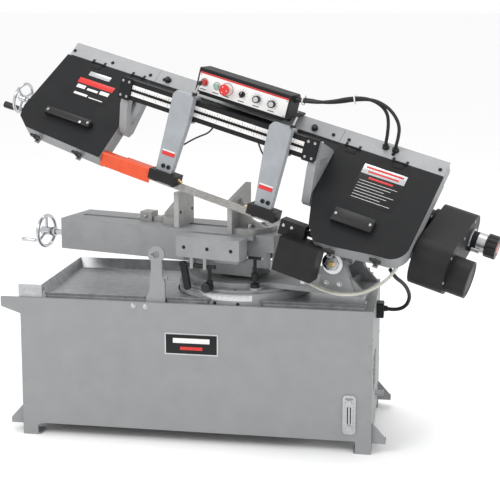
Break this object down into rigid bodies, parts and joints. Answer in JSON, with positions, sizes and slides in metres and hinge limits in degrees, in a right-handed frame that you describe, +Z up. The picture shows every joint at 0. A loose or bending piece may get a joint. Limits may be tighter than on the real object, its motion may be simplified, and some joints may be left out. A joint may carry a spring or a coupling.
{
  "type": "band saw",
  "caption": "Horizontal metal-cutting band saw: cabinet base with chip tray, vise on a turntable, and a tilting head with covered band wheels, blade guides, motor and controls.",
  "frame": {"origin": "centre of the base's floor-bolt pattern, on the floor", "axes": "+X to the machine's right seen from the front, +Y to the back, +Z up"},
  "size_m": [1.9451, 0.7009, 1.4174],
  "materials": {
    "grey_paint": "satin",
    "charcoal_paint": "satin",
    "light_paint": "satin",
    "arm_paint": "satin",
    "black_paint": "satin",
    "orange_paint": "satin",
    "bare_iron": "machined",
    "steel": "brushed",
    "chrome": "polished",
    "galvanised": "dull",
    "blade_steel": "streaked",
    "black_plastic": "matt",
    "red_plastic": "gloss",
    "green_plastic": "gloss",
    "clear_hose": "clear, yellowed",
    "belt_rubber": "matt"
  },
  "bodies": {
    "base": {"front_panel": "grey_paint", "cabinet": "grey_paint", "chip_tray": "galvanised", "coolant_tank": "galvanised", "sight_gauge": "chrome", "inlet_box": "black_paint", "stop_arm": "grey_paint", "turntable_disc": "grey_paint", "vise_bed": "grey_paint", "front_table": "grey_paint", "fixed_jaw": "bare_iron", "supply_conduit": "black_plastic"},
    "jaw": {"movable_jaw": "bare_iron"},
    "screw": {"vise_screw": "steel", "vise_handwheel": "chrome"},
    "swivel_lock": {"swivel_lock_lever": "black_paint"},
    "swivel": {"swivel_arm": "grey_paint", "pivot_shaft": "steel", "pvc_hoses": "clear_hose"},
    "angle_lock": {"angle_lock_lever": "steel"},
    "head": {"head_frame": "light_paint", "left_housing": "charcoal_paint", "right_housing": "charcoal_paint", "top_plates": "light_paint", "black_guards": "black_paint", "guide_bar": "charcoal_paint", "blade_guard_fixed": "orange_paint", "control_box": "charcoal_paint", "pilot_lamp": "red_plastic", "blade": "blade_steel", "gearbox": "grey_paint", "drive_motor": "charcoal_paint", "belt_cover": "black_paint", "drive_belt": "belt_rubber", "head_lines": "black_plastic"},
    "left_guide": {"left_guide_arm": "arm_paint", "left_guide_block": "bare_iron", "blade_guard_slide": "orange_paint"},
    "right_guide": {"right_guide_arm": "arm_paint", "right_guide_block": "bare_iron"},
    "left_clamp": {"left_clamp_lever": "steel"},
    "right_clamp": {"right_clamp_lever": "steel"},
    "start_button": {"start_button": "green_plastic"},
    "stop_button": {"stop_button": "red_plastic"},
    "mode_selector": {"mode_selector": "black_plastic"},
    "coolant_knob": {"coolant_knob": "black_plastic"},
    "speed_dial": {"speed_dial": "black_plastic"},
    "drive_wheel": {"drive_wheel": "bare_iron"},
    "tension_slide": {"tension_slide": "bare_iron"},
    "idler_wheel": {"idler_wheel": "bare_iron"},
    "tension_handwheel": {"tension_handwheel": "chrome"},
    "left_cover": {"left_cover": "charcoal_paint"},
    "right_cover": {"right_cover": "charcoal_paint"},
    "left_cover_knob_a": {"left_cover_knob_a": "black_plastic"},
    "left_cover_knob_b": {"left_cover_knob_b": "black_plastic"},
    "right_cover_knob_a": {"right_cover_knob_a": "black_plastic"},
    "right_cover_knob_b": {"right_cover_knob_b": "black_plastic"},
    "gear_pulley": {"gear_pulley": "bare_iron"},
    "motor_pulley": {"motor_pulley": "bare_iron"},
    "speed_handwheel": {"speed_handwheel": "black_plastic"}
  },
  "joints": [
    {"name": "jaw_slide", "type": "slide", "parent": "base", "child": "jaw", "axis": [0.9659, -0.2588, 0], "range_m": [-0.24, 0.2]},
    {"name": "vise_screw_turn", "type": "hinge", "parent": "base", "child": "screw", "pos_m": [-0.33978, 0.07765, 0.674], "axis": [0.9659, -0.2588, 0], "range_deg": [-14500, 12100]},
    {"name": "swivel_lock_swing", "type": "hinge", "parent": "base", "child": "swivel_lock", "pos_m": [0.01026, -0.23873, 0.65], "axis": [-0.9659, 0.2588, 0], "range_deg": [0, 35]},
    {"name": "head_swivel", "type": "hinge", "parent": "base", "child": "swivel", "pos_m": [0.14871, -0.01183, 0.57], "axis": [0, 0, 1], "range_deg": [0, 45]},
    {"name": "angle_lock_turn", "type": "hinge", "parent": "swivel", "child": "angle_lock", "pos_m": [0.21834, -0.22719, 0.64], "axis": [0, 0, 1], "range_deg": [-90, 90]},
    {"name": "head_tilt", "type": "hinge", "parent": "swivel", "child": "head", "pos_m": [0.5199, -0.1527, 0.678], "axis": [0.2588, 0.9659, 0], "range_deg": [-14.7, 25], "deforming": ["pvc_hoses", "supply_conduit"]},
    {"name": "left_guide_slide", "type": "slide", "parent": "head", "child": "left_guide", "axis": [0.9343, -0.2503, -0.2538], "range_m": [-0.025, 0.03]},
    {"name": "right_guide_slide", "type": "slide", "parent": "head", "child": "right_guide", "axis": [0.9343, -0.2503, -0.2538], "range_m": [-0.04, 0.008]},
    {"name": "left_clamp_turn", "type": "hinge", "parent": "left_guide", "child": "left_clamp", "pos_m": [-0.00637, -0.16698, 1.25287], "axis": [0.2451, -0.0657, 0.9673], "range_deg": [-25, 25]},
    {"name": "right_clamp_turn", "type": "hinge", "parent": "right_guide", "child": "right_clamp", "pos_m": [0.35521, -0.26387, 1.15467], "axis": [0.2451, -0.0657, 0.9673], "range_deg": [-25, 25]},
    {"name": "start_press", "type": "slide", "parent": "head", "child": "start_button", "axis": [0.2588, 0.9659, 0], "range_m": [0, 0.004], "stiffness_N_per_m": 600},
    {"name": "stop_press", "type": "slide", "parent": "head", "child": "stop_button", "axis": [0.2588, 0.9659, 0], "range_m": [0, 0.008], "stiffness_N_per_m": 900},
    {"name": "mode_turn", "type": "hinge", "parent": "head", "child": "mode_selector", "pos_m": [0.16365, -0.1763, 1.25361], "axis": [0.2588, 0.9659, 0], "range_deg": [-45, 45]},
    {"name": "coolant_turn", "type": "hinge", "parent": "head", "child": "coolant_knob", "pos_m": [0.21878, -0.19107, 1.23864], "axis": [0.2588, 0.9659, 0], "range_deg": [-150, 150]},
    {"name": "speed_dial_turn", "type": "hinge", "parent": "head", "child": "speed_dial", "pos_m": [0.2739, -0.20585, 1.22367], "axis": [0.2588, 0.9659, 0], "range_deg": [-150, 150]},
    {"name": "drive_wheel_spin", "type": "hinge", "parent": "head", "child": "drive_wheel", "pos_m": [0.61469, -0.20389, 0.86472], "axis": [-0.0209, -0.7491, 0.6621], "continuous": true},
    {"name": "tension_slide_move", "type": "slide", "parent": "head", "child": "tension_slide", "axis": [0.9343, -0.2503, -0.2538], "range_m": [0, 0.006]},
    {"name": "idler_wheel_spin", "type": "hinge", "parent": "tension_slide", "child": "idler_wheel", "pos_m": [-0.499, 0.09453, 1.1672], "axis": [-0.0209, -0.7491, 0.6621], "continuous": true},
    {"name": "tension_screw_turn", "type": "hinge", "parent": "head", "child": "tension_handwheel", "pos_m": [-0.65596, 0.15409, 1.16893], "axis": [0.9343, -0.2503, -0.2538], "range_deg": [0, 543]},
    {"name": "left_cover_open", "type": "hinge", "parent": "head", "child": "left_cover", "pos_m": [-0.4342, 0.1777, 1.33161], "axis": [-0.9343, 0.2503, 0.2538], "range_deg": [0, 95]},
    {"name": "right_cover_open", "type": "hinge", "parent": "head", "child": "right_cover", "pos_m": [0.68136, -0.12121, 1.02862], "axis": [-0.9343, 0.2503, 0.2538], "range_deg": [0, 95]},
    {"name": "left_knob_a_turn", "type": "hinge", "parent": "head", "child": "left_cover_knob_a", "pos_m": [-0.64786, -0.02713, 1.07018], "axis": [-0.0209, -0.7491, 0.6621], "range_deg": [0, 50]},
    {"name": "left_knob_b_turn", "type": "hinge", "parent": "head", "child": "left_cover_knob_b", "pos_m": [-0.47038, -0.08036, 1.01557], "axis": [-0.0209, -0.7491, 0.6621], "range_deg": [0, 50]},
    {"name": "right_knob_a_turn", "type": "hinge", "parent": "head", "child": "right_cover_knob_a", "pos_m": [0.49138, -0.35223, 0.73832], "axis": [-0.0209, -0.7491, 0.6621], "range_deg": [0, 50]},
    {"name": "right_knob_b_turn", "type": "hinge", "parent": "head", "child": "right_cover_knob_b", "pos_m": [0.6466, -0.37682, 0.7154], "axis": [-0.0209, -0.7491, 0.6621], "range_deg": [0, 50]},
    {"name": "gear_pulley_spin", "type": "hinge", "parent": "head", "child": "gear_pulley", "pos_m": [0.84239, -0.2474, 0.70564], "axis": [0.9343, -0.2503, -0.2538], "continuous": true},
    {"name": "motor_pulley_spin", "type": "hinge", "parent": "head", "child": "motor_pulley", "pos_m": [0.9092, -0.051, 0.75787], "axis": [0.9343, -0.2503, -0.2538], "continuous": true},
    {"name": "speed_knob_turn", "type": "hinge", "parent": "head", "child": "speed_handwheel", "pos_m": [1.04187, -0.08655, 0.72184], "axis": [0.9343, -0.2503, -0.2538], "range_deg": [-180, 180]}
  ],
  "couplings": [
    {"joint": "vise_screw_turn", "follows": "jaw_slide", "rad_per_m": 1047.2},
    {"joint": "tension_screw_turn", "follows": "tension_slide_move", "rad_per_m": 1570.8},
    {"joint": "idler_wheel_spin", "follows": "drive_wheel_spin", "ratio": 1},
    {"joint": "gear_pulley_spin", "follows": "drive_wheel_spin", "ratio": 20},
    {"joint": "motor_pulley_spin", "follows": "drive_wheel_spin", "ratio": 20}
  ]
}
